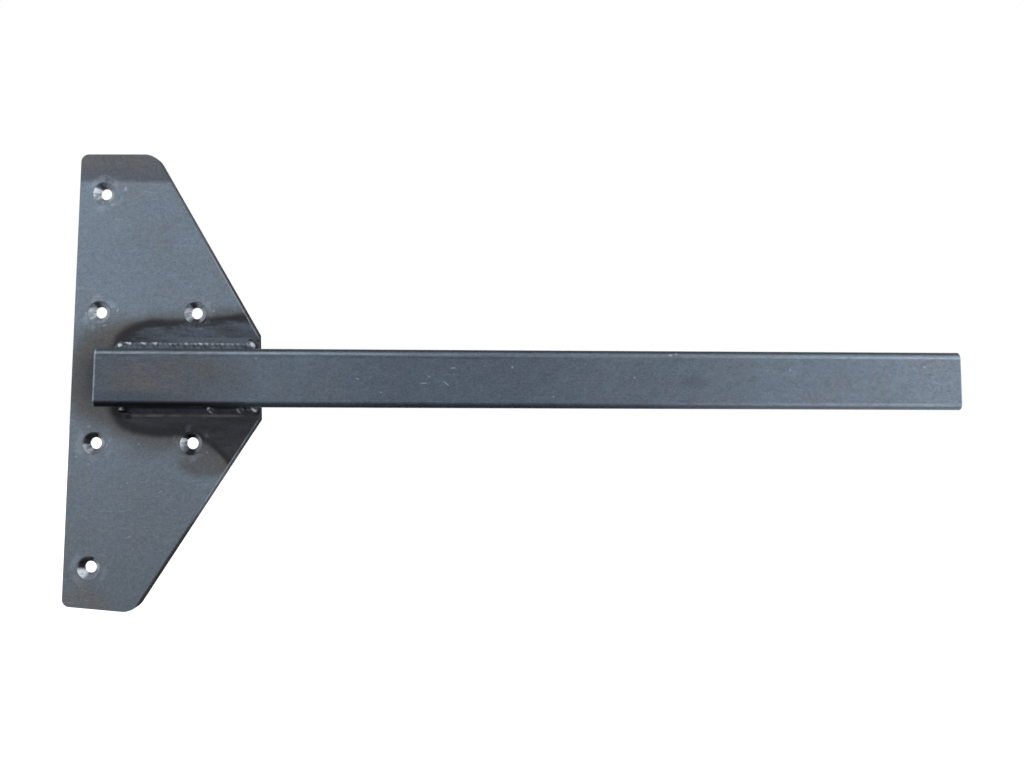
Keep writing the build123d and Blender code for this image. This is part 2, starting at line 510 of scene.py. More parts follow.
# Edge wear: rims and corners where the scale is rubbed down to brighter steel.
edge_wear, asked, given = named_group(
    "edge_wear",
    [("Spot", "Vector", (0.0, 0.0, 0.0)), ("Width", "Float", 0.0008)],
    [("Wear", "Float")],
)
rounded = place(edge_wear, "Bevel", {"Radius": asked.outputs["Width"]}, samples=6)
facing = place(edge_wear, "NewGeometry")
agree = place(
    edge_wear,
    "VectorMath",
    {0: rounded.outputs[0], 1: facing.outputs["Normal"]},
    operation="DOT_PRODUCT",
)
rubbed = reckon(edge_wear, "SUBTRACT", 1.0, agree.outputs["Value"])
patchy = cloud(edge_wear, asked.outputs["Spot"], 240.0, 3.0, 0.6)
edge_wear.links.new(
    times(
        edge_wear,
        fade(edge_wear, rubbed, 0.004, 0.08),
        fade(edge_wear, patchy, 0.3, 0.55, 0.35, 1.0),
    ),
    given.inputs["Wear"],
)

# Heat tint: steel near a weld goes blue-grey, then nearly black where the heat stopped,
# then brown. Depth is the distance in metres past the black line.
heat_tint, asked, given = named_group(
    "heat_tint",
    [
        ("Color", "Color", (0.2, 0.2, 0.2, 1.0)),
        ("Depth", "Float", 1.0),
        ("Reach", "Float", 0.009),
        ("Darkness", "Float", 0.0),
    ],
    [("Color", "Color")],
)
depth = asked.outputs["Depth"]
brown = reckon(
    heat_tint,
    "SUBTRACT",
    1.0,
    reckon(heat_tint, "DIVIDE", depth, asked.outputs["Reach"]),
    clamp=True,
)
brown = fade(heat_tint, brown, 0.0, 1.0)
tinted = blend(heat_tint, times(heat_tint, brown, 0.85), asked.outputs["Color"], paint(78, 78, 78))
black = fade(heat_tint, depth, 0.0042, -0.0004)
tinted = blend(heat_tint, black, tinted, paint(35, 36, 40))
blue = fade(heat_tint, depth, -0.002, -0.006)
blue = times(heat_tint, blue, reckon(heat_tint, "SUBTRACT", 1.0, asked.outputs["Darkness"]))
tinted = blend(heat_tint, blue, tinted, paint(58, 63, 72))
heat_tint.links.new(tinted, given.inputs["Color"])


def rub_edges(tree, spot, width, share, skin, bright):
    """Blends a brighter steel into a colour along the rims."""
    worn = put_group(tree, edge_wear, {"Spot": spot, "Width": width}).outputs["Wear"]
    return blend(tree, times(tree, worn, share), skin, bright)


def hole_spot(tree, along, up):
    """Returns the level, the upright and the whole distance from the nearest hole's middle,
    and the height of that hole's row."""
    outer = reckon(tree, "GREATER_THAN", reckon(tree, "ABSOLUTE", up), (inner_row + outer_row) / 2)
    row_height = reckon(tree, "MULTIPLY_ADD", outer, outer_row - inner_row, inner_row)
    column = times(tree, reckon(tree, "SIGN", along), hole_column)
    across = reckon(tree, "SUBTRACT", along, column)
    upright = reckon(tree, "SUBTRACT", up, times(tree, reckon(tree, "SIGN", up), row_height))
    return across, upright, far(tree, across, upright), row_height


def lit_slant_stretch(tree, up, full, share):
    """Returns where the slants carry a painted highlight, high up and in one stretch below."""
    high = fade(tree, up, 0.055, full, 0.0, share)
    return reckon(tree, "MAXIMUM", high, band(tree, up, -0.1, -0.09, -0.058, -0.04))


tree, shader, spot, along, deep, up = open_material(mill_plate)
in_front = reckon(tree, "LESS_THAN", deep, -0.004)
# The first 19 mm below the plate's top end keep a darker, browner scale, and a rusty
# bloom lies along its lower end.
wavy = cloud(tree, spot, 60.0, 3.0)
band_edge = off_middle(tree, wavy, 0.003, up)
skin = blend(tree, fade(tree, up, 0.0, -0.13), paint(99, 111, 123), paint(97, 106, 116))
skin = blend(tree, fade(tree, band_edge, 0.1335, 0.1375), skin, paint(74, 80, 89))
skin = blend(tree, fade(tree, band_edge, 0.14, 0.153, 0.0, 0.8), skin, paint(82, 83, 86))
bloom = times(
    tree,
    dabs(tree, spot, -0.006, 0.02, [(-0.038, -0.152, 0.03, 0.017, 0.0)]),
    fade(tree, cloud(tree, spot, 150.0, 3.0, 0.6), 0.35, 0.65, 0.25, 0.8),
)
skin = blend(tree, bloom, skin, paint(104, 104, 103))
# The heat ran out from the arm's two long beads and, less, from its inner end.
wavy = cloud(tree, spot, 45.0, 3.0, 0.6, shift=1.7)
side = reckon(tree, "ABSOLUTE", up)
below = fade(tree, up, 0.012, -0.012)
past = above_zero(tree, reckon(tree, "DIVIDE", reckon(tree, "SUBTRACT", along, 0.03), 0.0283))
spread_below = times(tree, below, reckon(tree, "POWER", past, 1.7))
above = reckon(tree, "SUBTRACT", 1.0, below)
spread_above = times(tree, above, fade(tree, along, 0.02, 0.072, 0.0, 0.0045))
flat_part = reckon(
    tree, "ADD", 0.018, reckon(tree, "MULTIPLY_ADD", spread_below, 0.0188, spread_above)
)
rise = above_zero(tree, reckon(tree, "SUBTRACT", side, flat_part))
run = times(tree, above_zero(tree, reckon(tree, "SUBTRACT", 0.0065, along)), 0.72)
reach = far(tree, rise, run)
depth = off_middle(tree, wavy, 0.004, reckon(tree, "SUBTRACT", reach, 0.02))
# The brown reaches further past the arm's inner end and below the nose.
end_away = oval(tree, spot, (-0.02, 0.0, 0.001), (0.027, 1.0, 0.029))
end_away = off_middle(tree, wavy, 0.4, end_away)
skin = blend(tree, fade(tree, end_away, 1.65, 0.9), skin, paint(75, 76, 77))
skin = blend(tree, fade(tree, end_away, 0.95, 0.5, 0.0, 0.85), skin, paint(46, 50, 57))
nose_away = oval(tree, spot, (0.052, 0.0, -0.051), (0.03, 1.0, 0.016), -14.0)
nose_away = off_middle(tree, wavy, 0.3, nose_away)
skin = blend(tree, fade(tree, nose_away, 1.1, 0.75, 0.0, 0.85), skin, paint(80, 81, 83))
hole_gap = dabs(tree, spot, -0.004, 0.02, [(0.014, -0.0445, 0.034, 0.0125, -14.0)])
skin = blend(tree, times(tree, hole_gap, 0.5), skin, paint(86, 89, 92))
heated = put_group(
    tree,
    heat_tint,
    {
        "Color": skin,
        "Depth": depth,
        "Reach": reckon(
            tree, "MULTIPLY_ADD", below, 0.002, fade(tree, along, -0.025, 0.015, 0.009, 0.0125)
        ),
        "Darkness": times(tree, below, 0.7),
    },
)
skin = heated.outputs["Color"]
# Inside the black line the blued scale keeps level streaks, and painted shadow blackens
# the gaps at the ends of the beads.
streaks = cloud(tree, spot, 190.0, 4.0, 0.65, stretch=(0.22, 1.0, 1.0), shift=3.0)
inside = times(
    tree, fade(tree, depth, 0.0, -0.005), reckon(tree, "MULTIPLY_ADD", in_front, 0.7, 0.3)
)
skin = blend(
    tree,
    times(tree, inside, fade(tree, streaks, 0.5, 0.64, 0.0, 0.75)),
    skin,
    blend(tree, below, paint(72, 82, 94), paint(50, 54, 62)),
)
skin = blend(
    tree, times(tree, inside, fade(tree, streaks, 0.48, 0.36, 0.0, 0.85)), skin, paint(30, 33, 38)
)
upper_toe = times(
    tree,
    fade(tree, up, 0.0284, 0.0268),
    in_front,
    fade(tree, along, 0.004, 0.03, 0.0, 0.75),
    fade(tree, along, 0.0745, 0.07),
    fade(tree, up, 0.02, 0.021),
)
skin = blend(tree, upper_toe, skin, paint(82, 92, 103))
bead_end_shadows = dabs(
    tree,
    spot,
    plate_front,
    0.003,
    (
        (-0.0205, 0.0222, 0.0014, 0.0026, 0.0),
        (0.0708, 0.0262, 0.0024, 0.0010, 0.0),
        (0.0762, 0.0256, 0.0018, 0.0010, 0.0),
        (-0.0193, -0.0212, 0.0032, 0.0060, 0.0),
        (-0.0170, -0.0248, 0.0056, 0.0028, 45.0),
        (-0.0102, -0.0266, 0.0040, 0.0024, 0.0),
        (0.0775, -0.0225, 0.0022, 0.0030, 0.0),
    ),
)
# Painted shadow in the gaps at the ends of the beads.
skin = blend(tree, times(tree, bead_end_shadows, 0.9), skin, paint(12, 12, 14))
scale_skin = put_group(
    tree,
    mill_scale,
    {"Spot": spot, "Tone": skin, "Contrast": 0.46, "Stretch": (0.85, 1.0, 1.15), "Gloss": 0.42},
)
skin = scale_skin.outputs["Color"]
# A pale line of scale lies along the toe of the lower bead.
toe_line = times(
    tree,
    band(tree, up, -0.0268, -0.026, -0.0252, -0.0244),
    band(tree, along, -0.01, -0.004, 0.06, 0.071),
)
toe_patch = fade(tree, cloud(tree, spot, 90.0, 3.0, 0.6, shift=7.0), 0.3, 0.6, 0.25, 0.9)
toe_patch = times(tree, toe_patch, in_front)
skin = blend(tree, times(tree, toe_line, toe_patch), skin, paint(84, 83, 80))
# Round each hole the drill press's stop left faint rings and short bright rubs.
from_hole = hole_spot(tree, along, up)[2]
ring_wave = reckon(tree, "SINE", times(tree, from_hole, 5200.0))
ring_zone = band(tree, from_hole, 0.0078, 0.0092, 0.011, 0.0142)
ring_patch = fade(tree, cloud(tree, spot, 130.0, 2.0, shift=8.0), 0.45, 0.66)
ring_patch = times(tree, ring_patch, in_front)
rings = times(tree, ring_zone, ring_patch)
ring_light = times(tree, rings, reckon(tree, "MULTIPLY_ADD", ring_wave, 0.12, 0.15))
skin = blend(tree, ring_light, skin, paint(165, 178, 190))
marks = dabs(
    tree,
    spot,
    plate_front,
    0.002,
    (
        (-0.0414, 0.0437, 0.0010, 0.0016, 0.0),
        (-0.0200, 0.0460, 0.0010, 0.0020, 30.0),
        (-0.0286, 0.0356, 0.0020, 0.0008, -15.0),
        (-0.0332, 0.0553, 0.0012, 0.0008, 0.0),
        (-0.0181, 0.1302, 0.0016, 0.0026, 20.0),
        (-0.0264, 0.1192, 0.0024, 0.0009, -20.0),
        (0.0452, 0.0460, 0.0012, 0.0012, 0.0),
        (-0.0237, -0.0457, 0.0010, 0.0018, 10.0),
        (-0.0359, -0.0330, 0.0020, 0.0007, -15.0),
        (-0.0355, -0.0582, 0.0010, 0.0008, 0.0),
        (-0.0437, -0.0535, 0.0008, 0.0012, 0.0),
        (0.0438, -0.0503, 0.0008, 0.0008, 0.0),
        (-0.0284, -0.1329, 0.0010, 0.0012, 20.0),
        (-0.0022, -0.0447, 0.0012, 0.0006, 0.0),
        (-0.0090, -0.0710, 0.0009, 0.0009, 0.0),
        (-0.0065, -0.1066, 0.0022, 0.0006, -25.0),
        (-0.0036, -0.1148, 0.0006, 0.0010, 0.0),
        (0.0133, -0.0767, 0.0020, 0.0005, -25.0),
    ),
)
skin = blend(tree, times(tree, marks, 0.42), skin, paint(150, 162, 174))
# The cut left a burnt line along both slants. Beside it, nearer to the arm, a bright rub
# also stands as a painted highlight along the rim.
# Each slant is a line, written as its distance from the origin and the way that it faces.
upper_gap, lower_gap = (
    reckon(
        tree,
        "SUBTRACT",
        distance,
        reckon(tree, "MULTIPLY_ADD", along, face_x, times(tree, up, face_z)),
    )
    for distance, face_x, face_z in ((0.08087, 0.8594, 0.5117), (0.08183, 0.8477, -0.5305))
)
slant_gap = reckon(tree, "MINIMUM", upper_gap, lower_gap)
rim_share = fade(tree, slant_gap, 0.0006, 0.002, 0.0, 0.5)
skin = rub_edges(tree, spot, 0.0005, rim_share, skin, paint(126, 136, 145))
slant_patch = cloud(tree, spot, 160.0, 3.0, 0.6)
slant_rub_and_highlight = times(
    tree,
    band(tree, slant_gap, 0.0004, 0.0008, 0.0012, 0.0018),
    band(tree, side, 0.024, 0.034, 0.078, 0.096),
    fade(tree, slant_patch, 0.3, 0.55, 0.2, 0.7),
)
skin = blend(tree, slant_rub_and_highlight, skin, paint(138, 148, 157))
slant_edge = off_middle(tree, slant_patch, 0.0008, slant_gap)
# Where the slants carry their painted highlight, the burnt line is weaker.
lit_slant = lit_slant_stretch(tree, up, 0.12, 0.8)
burnt = reckon(
    tree,
    "MAXIMUM",
    times(
        tree,
        fade(tree, slant_gap, 0.0009, 0.0005),
        reckon(tree, "MULTIPLY_ADD", lit_slant, -0.4, 0.9),
    ),
    times(
        tree, fade(tree, slant_edge, 0.0019, 0.001), fade(tree, side, 0.09, 0.105, 0.0, 0.9), below
    ),
)
skin = blend(tree, burnt, skin, paint(46, 48, 52))
height = scale_skin.outputs["Height"]
height = reckon(tree, "MULTIPLY_ADD", times(tree, rings, ring_wave), 0.5, height)
coat(tree, shader, skin, scale_skin.outputs["Roughness"], 0.7, height, 0.12, 0.0004)

# The sides keep the dark, finely ridged crust of the cut.
tree, shader, spot, along, deep, up = open_material(cut_side)
ridges = cloud(tree, spot, 900.0, 3.0, 0.6, stretch=(1.0, 0.08, 1.0))
crust = cloud(tree, spot, 160.0, 4.0, 0.6)
side_colour = blend(tree, ridges, paint(24, 24, 26), paint(46, 46, 48))
# A painted highlight lightens part of each slant.
lit_slant = times(
    tree,
    lit_slant_stretch(tree, up, 0.1, 0.6),
    fade(tree, along, -0.02, 0.005),
    fade(tree, cloud(tree, spot, 110.0, 3.0, 0.6), 0.3, 0.5, 0.55, 1.0),
)
side_colour = blend(
    tree, lit_slant, side_colour, blend(tree, ridges, paint(96, 101, 106), paint(128, 134, 140))
)
side_colour = blend(tree, fade(tree, crust, 0.5, 0.7, 0.0, 0.5), side_colour, paint(60, 54, 48))
side_colour = rub_edges(tree, spot, 0.0003, 0.3, side_colour, paint(96, 102, 108))
roughness = fade(tree, crust, 0.3, 0.7, 0.72, 0.9)
coat(tree, shader, side_colour, roughness, 0.0, ridges, 0.5, 0.0002)
shader.inputs["Specular IOR Level"].default_value = 0.08

# The bored steel keeps the lobes that a chattering sink leaves.
tree, shader, spot, along, deep, up = open_material(bored_steel)
across, upright, away, row_height = hole_spot(tree, along, up)
turn = reckon(tree, "ARCTAN2", upright, across)
lobes = reckon(tree, "SINE", reckon(tree, "MULTIPLY_ADD", turn, 7.0, row_height))
below = reckon(tree, "LESS_THAN", up, 0.0)
dirt = cloud(tree, spot, 420.0, 3.0, 0.6)
bore_colour = blend(tree, fade(tree, dirt, 0.3, 0.7), paint(146, 154, 164), paint(126, 134, 144))
# The lower left of each sink carries a painted highlight in streaks, and its top carries
# painted shade, over a wider part in the lower holes. The right-hand holes carry painted shade
# at the bottom, and the bore is painted dark as shade.
level = reckon(tree, "DIVIDE", across, away)
rise = reckon(tree, "DIVIDE", upright, away)
lower_left = times(tree, below, reckon(tree, "LESS_THAN", along, 0.0))
toward_left = reckon(
    tree,
    "MULTIPLY_ADD",
    level,
    -1.0,
    times(tree, rise, reckon(tree, "MULTIPLY_ADD", lower_left, -0.9, 0.08)),
)
toward_left = reckon(tree, "MULTIPLY_ADD", lower_left, -0.4, toward_left)
round_spot = place(
    tree, "CombineXYZ", {"X": turn, "Y": times(tree, away, 120.0), "Z": times(tree, up, 40.0)}
)
streaks = cloud(tree, round_spot.outputs[0], 1.7, 1.0, 0.6)
sink_highlight = times(tree, fade(tree, toward_left, 0.5, 0.9), fade(tree, streaks, 0.4, 0.58, 0.1, 1.0))
lean = reckon(tree, "MULTIPLY_ADD", lower_left, -0.3, -0.42)
toward_top = reckon(tree, "MULTIPLY_ADD", level, lean, times(tree, rise, 0.9))
toward_top = off_middle(tree, streaks, 0.3, toward_top)
sink_shade = reckon(
    tree,
    "MAXIMUM",
    fade(tree, toward_top, 0.74, 1.04, 0.0, 0.85),
    times(tree, below, fade(tree, toward_top, 0.3, 0.75)),
)
sink_shade = reckon(tree, "MAXIMUM", sink_shade, times(tree, lower_left, fade(tree, toward_top, 0.35, 0.7)))
sink_shade = times(tree, sink_shade, fade(tree, away, 0.0078, 0.0064, 0.6, 1.0))
sink_shade_bottom = times(
    tree, reckon(tree, "GREATER_THAN", along, 0.0), fade(tree, rise, -0.8, -0.96, 0.0, 0.8)
)
sink_shade = reckon(tree, "MAXIMUM", sink_shade, sink_shade_bottom)
sink_shade = reckon(tree, "MAXIMUM", sink_shade, fade(tree, away, 0.0044, 0.004))
# Painted shade in the sinks and the bores.
bore_colour = blend(tree, times(tree, sink_shade, 0.98), bore_colour, paint(8, 9, 11))
# Painted highlight on the lower left of the sinks.
bore_colour = blend(tree, sink_highlight, bore_colour, paint(214, 221, 228))
roughness = fade(tree, dirt, 0.3, 0.7, 0.26, 0.36)
coat(tree, shader, bore_colour, roughness, 0.45, lobes, 0.6, 0.00012)

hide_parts("mounting_plate")
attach(plate, "root")


# The arm: 1-1/2 inch square steel tube, rolled and seam-welded at the mill, sawn to length
# and left open at both ends. Its scale is worn bright along the corners by handling, and a
# painted highlight lies along them too.
tube_size = 0.0381
tube_wall = 0.00305
tube_corner = 0.0045
tube_start = -0.0206
tube_length = 0.568
tube_middle = -(plate_thickness + tube_size / 2)
arm_front = -0.0445
seam_y, seam_z = -plate_thickness - tube_wall + 0.0012, 0.004
seam_steps = 140

bpy.ops.object.select_all(action="DESELECT")
bpy.ops.mesh.primitive_cube_add(
    size=1.0, location=(tube_start + tube_length / 2, tube_middle, 0.0)
)
arm = bpy.context.object
arm.name = "square_arm"
arm.scale = (tube_length, tube_size, tube_size)
bpy.ops.object.transform_apply(location=True, rotation=True, scale=True)
bpy.ops.object.mode_set(mode="EDIT")
pick(arm, "FACE", lambda middle, face: abs(face.normal.x) > 0.9)
bpy.ops.mesh.delete(type="FACE")
pick(arm, "EDGE", lambda middle, edge: abs(edge.verts[0].co.x - edge.verts[1].co.x) > 0.1)
bpy.ops.mesh.bevel(offset=tube_corner, segments=12, affect="EDGES")
bpy.ops.object.mode_set(mode="OBJECT")
finish_with(arm, "SOLIDIFY", thickness=tube_wall, offset=-1.0, use_even_offset=True)
bpy.ops.object.mode_set(mode="EDIT")
pick(
    arm,
    "EDGE",
    lambda middle, edge: abs(edge.verts[0].co.x - edge.verts[1].co.x) < 1e-5
    and edge.calc_face_angle(0.0) > 1.0,
)
bpy.ops.mesh.bevel(offset=0.0003, segments=2, affect="EDGES")
bpy.ops.object.mode_set(mode="OBJECT")

# The mill's seam weld leaves a low ridge along the inside of the back wall.
bpy.ops.object.select_all(action="DESELECT")
bpy.ops.mesh.primitive_cylinder_add(
    vertices=16,
    radius=0.0022,
    depth=tube_length - 0.0012,
    location=(tube_start + tube_length / 2, seam_y, seam_z),
    rotation=(0.0, math.pi / 2, 0.0),
)
seam = bpy.context.object
bpy.ops.object.transform_apply(location=True, rotation=True, scale=True)
bpy.ops.object.mode_set(mode="EDIT")
for cut in range(1, seam_steps):
    cut_x = tube_start + cut * tube_length / seam_steps
    bpy.ops.mesh.select_all(action="SELECT")
    bpy.ops.mesh.bisect(plane_co=(cut_x, 0.0, 0.0), plane_no=(1.0, 0.0, 0.0))
bpy.ops.object.mode_set(mode="OBJECT")
random.seed(5)
for ring in range(seam_steps + 1):
    ring_x = tube_start + ring * tube_length / seam_steps
    bulge = random.uniform(0.88, 1.1)
    for vertex in seam.data.vertices:
        if abs(vertex.co.x - ring_x) < 0.0007:
            vertex.co.y = seam_y + (vertex.co.y - seam_y) * bulge
            vertex.co.z = seam_z + (vertex.co.z - seam_z) * bulge
select_only(arm)
seam.select_set(True)
bpy.ops.object.join()

mill_tube, sawn_end = give_materials(arm, "mill_tube", "sawn_end")
for side in arm.data.polygons:
    side.material_index = 1 if abs(side.normal.x) > 0.9 else 0
bpy.ops.object.shade_smooth_by_angle(angle=math.radians(20.0))
finish_with(arm, "WEIGHTED_NORMAL", keep_sharp=True)

tree, shader, spot, along, deep, up = open_material(mill_tube)
# The scale is darkest at the inner end, bluest in the middle, and paler towards the open
# end.
skin = blend(tree, fade(tree, along, 0.02, 0.1), paint(71, 78, 88), paint(82, 93, 105))
skin = blend(tree, fade(tree, along, 0.11, 0.19), skin, paint(72, 82, 95))
paler = place(tree, "MapRange", {"Value": along, "From Min": 0.25, "From Max": 0.56})
skin = blend(tree, paler.outputs["Result"], skin, paint(97, 108, 120))
frost = fade(tree, cloud(tree, spot, 520.0, 2.0, 0.6, shift=2.5), 0.4, 0.62, 0.1, 0.45)
frost = times(tree, frost, fade(tree, along, 0.49, 0.545))
skin = blend(tree, frost, skin, paint(108, 121, 134))
# Brown heat tint on the inner end, and a dark line where each long bead ran.
blotch = cloud(tree, spot, 36.0, 3.0, 0.6, shift=4.0)
warm_zone = dabs(tree, spot, arm_front, 0.02, [(0.03, -0.001, 0.062, 0.019, 0.0)])
warmed = times(tree, warm_zone, fade(tree, blotch, 0.32, 0.52, 0.35, 1.0))
skin = blend(tree, warmed, skin, paint(77, 80, 83))
blue_zone = dabs(tree, spot, arm_front, 0.02, [(0.0, -0.0135, 0.05, 0.007, 0.0)])
skin = blend(tree, times(tree, blue_zone, 0.6), skin, paint(54, 64, 78))
# Soot and painted shade blacken the bottom corner at the inner end, above the lower bead.
soot_and_shade = times(tree, fade(tree, up, -0.014, -0.0168), fade(tree, along, 0.1, 0.04))
skin = blend(tree, times(tree, soot_and_shade, 0.85), skin, paint(16, 17, 19))
bead_gap = above_zero(tree, reckon(tree, "SUBTRACT", -0.0125, deep))
past_bead = above_zero(tree, reckon(tree, "SUBTRACT", along, 0.078))
wavy = cloud(tree, spot, 60.0, 3.0, 0.6)
bead_depth = reckon(tree, "SUBTRACT", far(tree, bead_gap, past_bead), 0.008)
bead_depth = off_middle(tree, wavy, 0.006, bead_depth)
heated = put_group(
    tree, heat_tint, {"Color": skin, "Depth": bead_depth, "Reach": 0.007, "Darkness": 0.3}
)
skin = heated.outputs["Color"]
scale_skin = put_group(
    tree,
    mill_scale,
    {"Spot": spot, "Tone": skin, "Contrast": 0.46, "Stretch": (0.8, 1.0, 1.15), "Gloss": 0.42},
)
skin = scale_skin.outputs["Color"]
# Handling has rubbed the front corners, and these rubs also stand as a painted highlight
# along the corners; painted shade darkens the upper corner's top, and a darker line runs
# beside each.
streak = cloud(tree, spot, 420.0, 3.0, 0.65, stretch=(0.3, 1.0, 1.0))
in_front = fade(tree, deep, -0.03, -0.036)
corner_place = reckon(tree, "SUBTRACT", up, fade(tree, along, 0.3, 0.08, 0.0, 0.0008))
upper_corner_rub_and_highlight = times(
    tree,
    band(tree, corner_place, 0.0141, 0.0148, 0.0152, 0.0163),
    reckon(
        tree,
        "MAXIMUM",
        fade(tree, along, 0.27, 0.04, 0.18, 0.55),
        fade(tree, along, 0.35, 0.52, 0.15, 0.55),
    ),
)
lower_corner_rub_and_highlight = times(
    tree,
    band(tree, up, -0.0172, -0.0163, -0.0152, -0.0143),
    fade(tree, along, 0.28, 0.54, 0.0, 0.75),
)
corner_rub_and_highlight = times(
    tree,
    reckon(tree, "MAXIMUM", upper_corner_rub_and_highlight, lower_corner_rub_and_highlight),
    in_front,
    fade(tree, streak, 0.3, 0.66, 0.35, 1.0),
)
# The corner rubs, partly painted highlight.
skin = blend(tree, corner_rub_and_highlight, skin, paint(136, 148, 160))
# Painted shade darkens the top of the upper corner.
skin = blend(
    tree, times(tree, in_front, fade(tree, up, 0.0170, 0.0182, 0.0, 0.6)), skin, paint(92, 96, 102)
)
dark_line = times(
    tree,
    band(tree, corner_place, 0.0122, 0.0130, 0.0138, 0.0144),
    in_front,
    fade(tree, along, 0.3, 0.22),
    fade(tree, streak, 0.4, 0.6, 0.1, 0.5),
)
skin = blend(tree, dark_line, skin, paint(52, 60, 70))
# Both ends' rims are rubbed, and the face carries a few scratches, specks and stains.
rims = reckon(
    tree,
    "MAXIMUM",
    fade(tree, along, -0.0192, -0.0199, 0.0, 0.7),
    fade(tree, along, 0.5466, 0.5472, 0.0, 0.4),
)
rims = times(tree, rims, fade(tree, streak, 0.3, 0.6, 0.5, 1.0))
skin = blend(tree, rims, skin, paint(142, 154, 165))
marks = dabs(
    tree,
    spot,
    arm_front,
    0.003,
    (
        (0.1489, -0.0002, 0.0016, 0.0006, 10.0),
        (0.1640, -0.0089, 0.0010, 0.0008, 0.0),
        (0.1917, -0.0028, 0.0035, 0.0005, 0.0),
        (0.1951, 0.0015, 0.0014, 0.0005, 30.0),
        (0.2064, -0.0030, 0.0034, 0.0005, 38.0),
        (0.2109, 0.0071, 0.0026, 0.0006, 0.0),
        (0.2493, 0.0078, 0.0009, 0.0011, 0.0),
        (0.2763, -0.0114, 0.0008, 0.0008, 0.0),
        (0.3297, 0.0015, 0.0012, 0.0006, 45.0),
        (0.4326, 0.0072, 0.0010, 0.0010, 0.0),
        (0.5228, 0.0094, 0.0016, 0.0008, 0.0),
        (0.3535, 0.0163, 0.0016, 0.0010, 0.0),
        (0.3572, 0.0170, 0.0014, 0.0008, 0.0),
    ),
)
skin = blend(tree, times(tree, marks, 0.5), skin, paint(150, 160, 170))
stains = dabs(
    tree,
    spot,
    arm_front,
    0.004,
    (
        (0.369, -0.0015, 0.014, 0.006, 0.0),
        (0.362, -0.0138, 0.006, 0.0012, 0.0),
        (0.5265, 0.0044, 0.003, 0.0014, 0.0),
        (0.5387, -0.0063, 0.0028, 0.001, 0.0),
        (0.0, 0.008, 0.002, 0.0008, 0.0),
    ),
)
skin = blend(tree, times(tree, stains, 0.35), skin, paint(56, 60, 70))
skin = rub_edges(tree, spot, 0.0005, 0.5, skin, paint(140, 150, 158))
roughness, height = scale_skin.outputs["Roughness"], scale_skin.outputs["Height"]
coat(tree, shader, skin, roughness, 0.7, height, 0.12, 0.0004)

tree, shader, spot, along, deep, up = open_material(sawn_end)
saw_lines = cloud(tree, spot, 1500.0, 2.0, 0.6, stretch=(1.0, 0.03, 1.0))
saw_colour = blend(tree, saw_lines, paint(112, 118, 125), paint(168, 174, 180))
saw_colour = rub_edges(tree, spot, 0.0005, 0.5, saw_colour, paint(190, 196, 202))
roughness = fade(tree, saw_lines, 0.3, 0.7, 0.3, 0.45)
coat(tree, shader, saw_colour, roughness, 0.9, saw_lines, 0.4, 0.0002)

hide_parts("arm_tube")
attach(arm, "root")


# The welds: three fillet beads laid by hand. The one above shows its ripples, the one below
# ran hotter and smoother with restarts, and a small one closes the arm's inner end.
def lay_bead(name, puddles, cuts, voxel):
    """Fuses flattened puddles of metal into one skin and cuts it off at its seat."""
    discs = []
    for middle, turn, radii in puddles:
        bpy.ops.object.select_all(action="DESELECT")
        bpy.ops.mesh.primitive_uv_sphere_add(
            segments=40, ring_count=20, radius=1.0, location=middle, rotation=turn
        )
        disc = bpy.context.object
        disc.scale = radii
        bpy.ops.object.transform_apply(location=True, rotation=True, scale=True)
        discs.append(disc)
    for disc in discs:
        disc.select_set(True)
    bpy.context.view_layer.objects.active = discs[0]
    bpy.ops.object.join()
    bead = bpy.context.object
    bead.name = name
    finish_with(bead, "REMESH", mode="VOXEL", voxel_size=voxel, use_smooth_shade=True)
    finish_with(bead, "SMOOTH", factor=0.5, iterations=6)
    bpy.ops.object.mode_set(mode="EDIT")
    for cut_place, cut_normal in cuts:
        bpy.ops.mesh.select_all(action="SELECT")
        bpy.ops.mesh.bisect(
            plane_co=cut_place, plane_no=cut_normal, use_fill=True, clear_outer=True
        )
    bpy.ops.object.mode_set(mode="OBJECT")
    select_only(bead)
    bpy.ops.object.shade_smooth_by_angle(angle=math.radians(50.0))
    return bead


def puddle_size(leg):
    """Returns how far a puddle's middle lies behind the seat, and its radius, for a leg."""
    sink = 0.6 * leg
    return sink, math.hypot(leg + sink, sink)


def lumps(places):
    """Returns round puddles, for the lumps where the torch starts, stops and restarts."""
    return [((x, y, z), (0.0, 0.0, 0.0), [radius] * 3) for x, y, z, radius in places]


seat_y = -plate_thickness
seat_z = tube_size / 2
bead_start = tube_start + 0.0008
bead_end = 0.07577

# The ripples of the upper bead: how far along each lies and how strong a painted highlight
# its crest carries. The first half was laid unevenly.
ripples = (
    (-0.0154, 0.0), (-0.0113, 0.95), (-0.0080, 0.2), (-0.0049, 0.3), (-0.0014, 0.85),
    (0.0024, 0.25), (0.0060, 0.95), (0.0094, 0.3), (0.0126, 0.3), (0.0159, 0.7),
    (0.0193, 0.4), (0.0232, 0.3), (0.0270, 0.7), (0.0302, 0.3), (0.0331, 0.65),
    (0.0368, 0.95), (0.0408, 0.7), (0.0446, 0.5), (0.0479, 0.4), (0.0513, 0.7),
    (0.0547, 0.45), (0.0580, 0.55), (0.0617, 0.55), (0.0654, 0.5), (0.0688, 0.55),
    (0.0722, 0.3),
)
random.seed(11)
upper_sink, upper_radius = puddle_size(0.0072)
puddles = []
for ripple_x, glint_strength in ripples:
    loose = 1.0 if ripple_x < 0.025 else 0.35
    radius = upper_radius * (1 + loose * random.uniform(-0.03, 0.03))
    if ripple_x in (ripples[0][0], ripples[-1][0]):
        radius *= 0.93
    middle = (ripple_x, seat_y + upper_sink, seat_z - upper_sink)
    puddles.append((middle, (0.0, math.radians(-38.0), 0.0), (0.0052, radius, radius)))
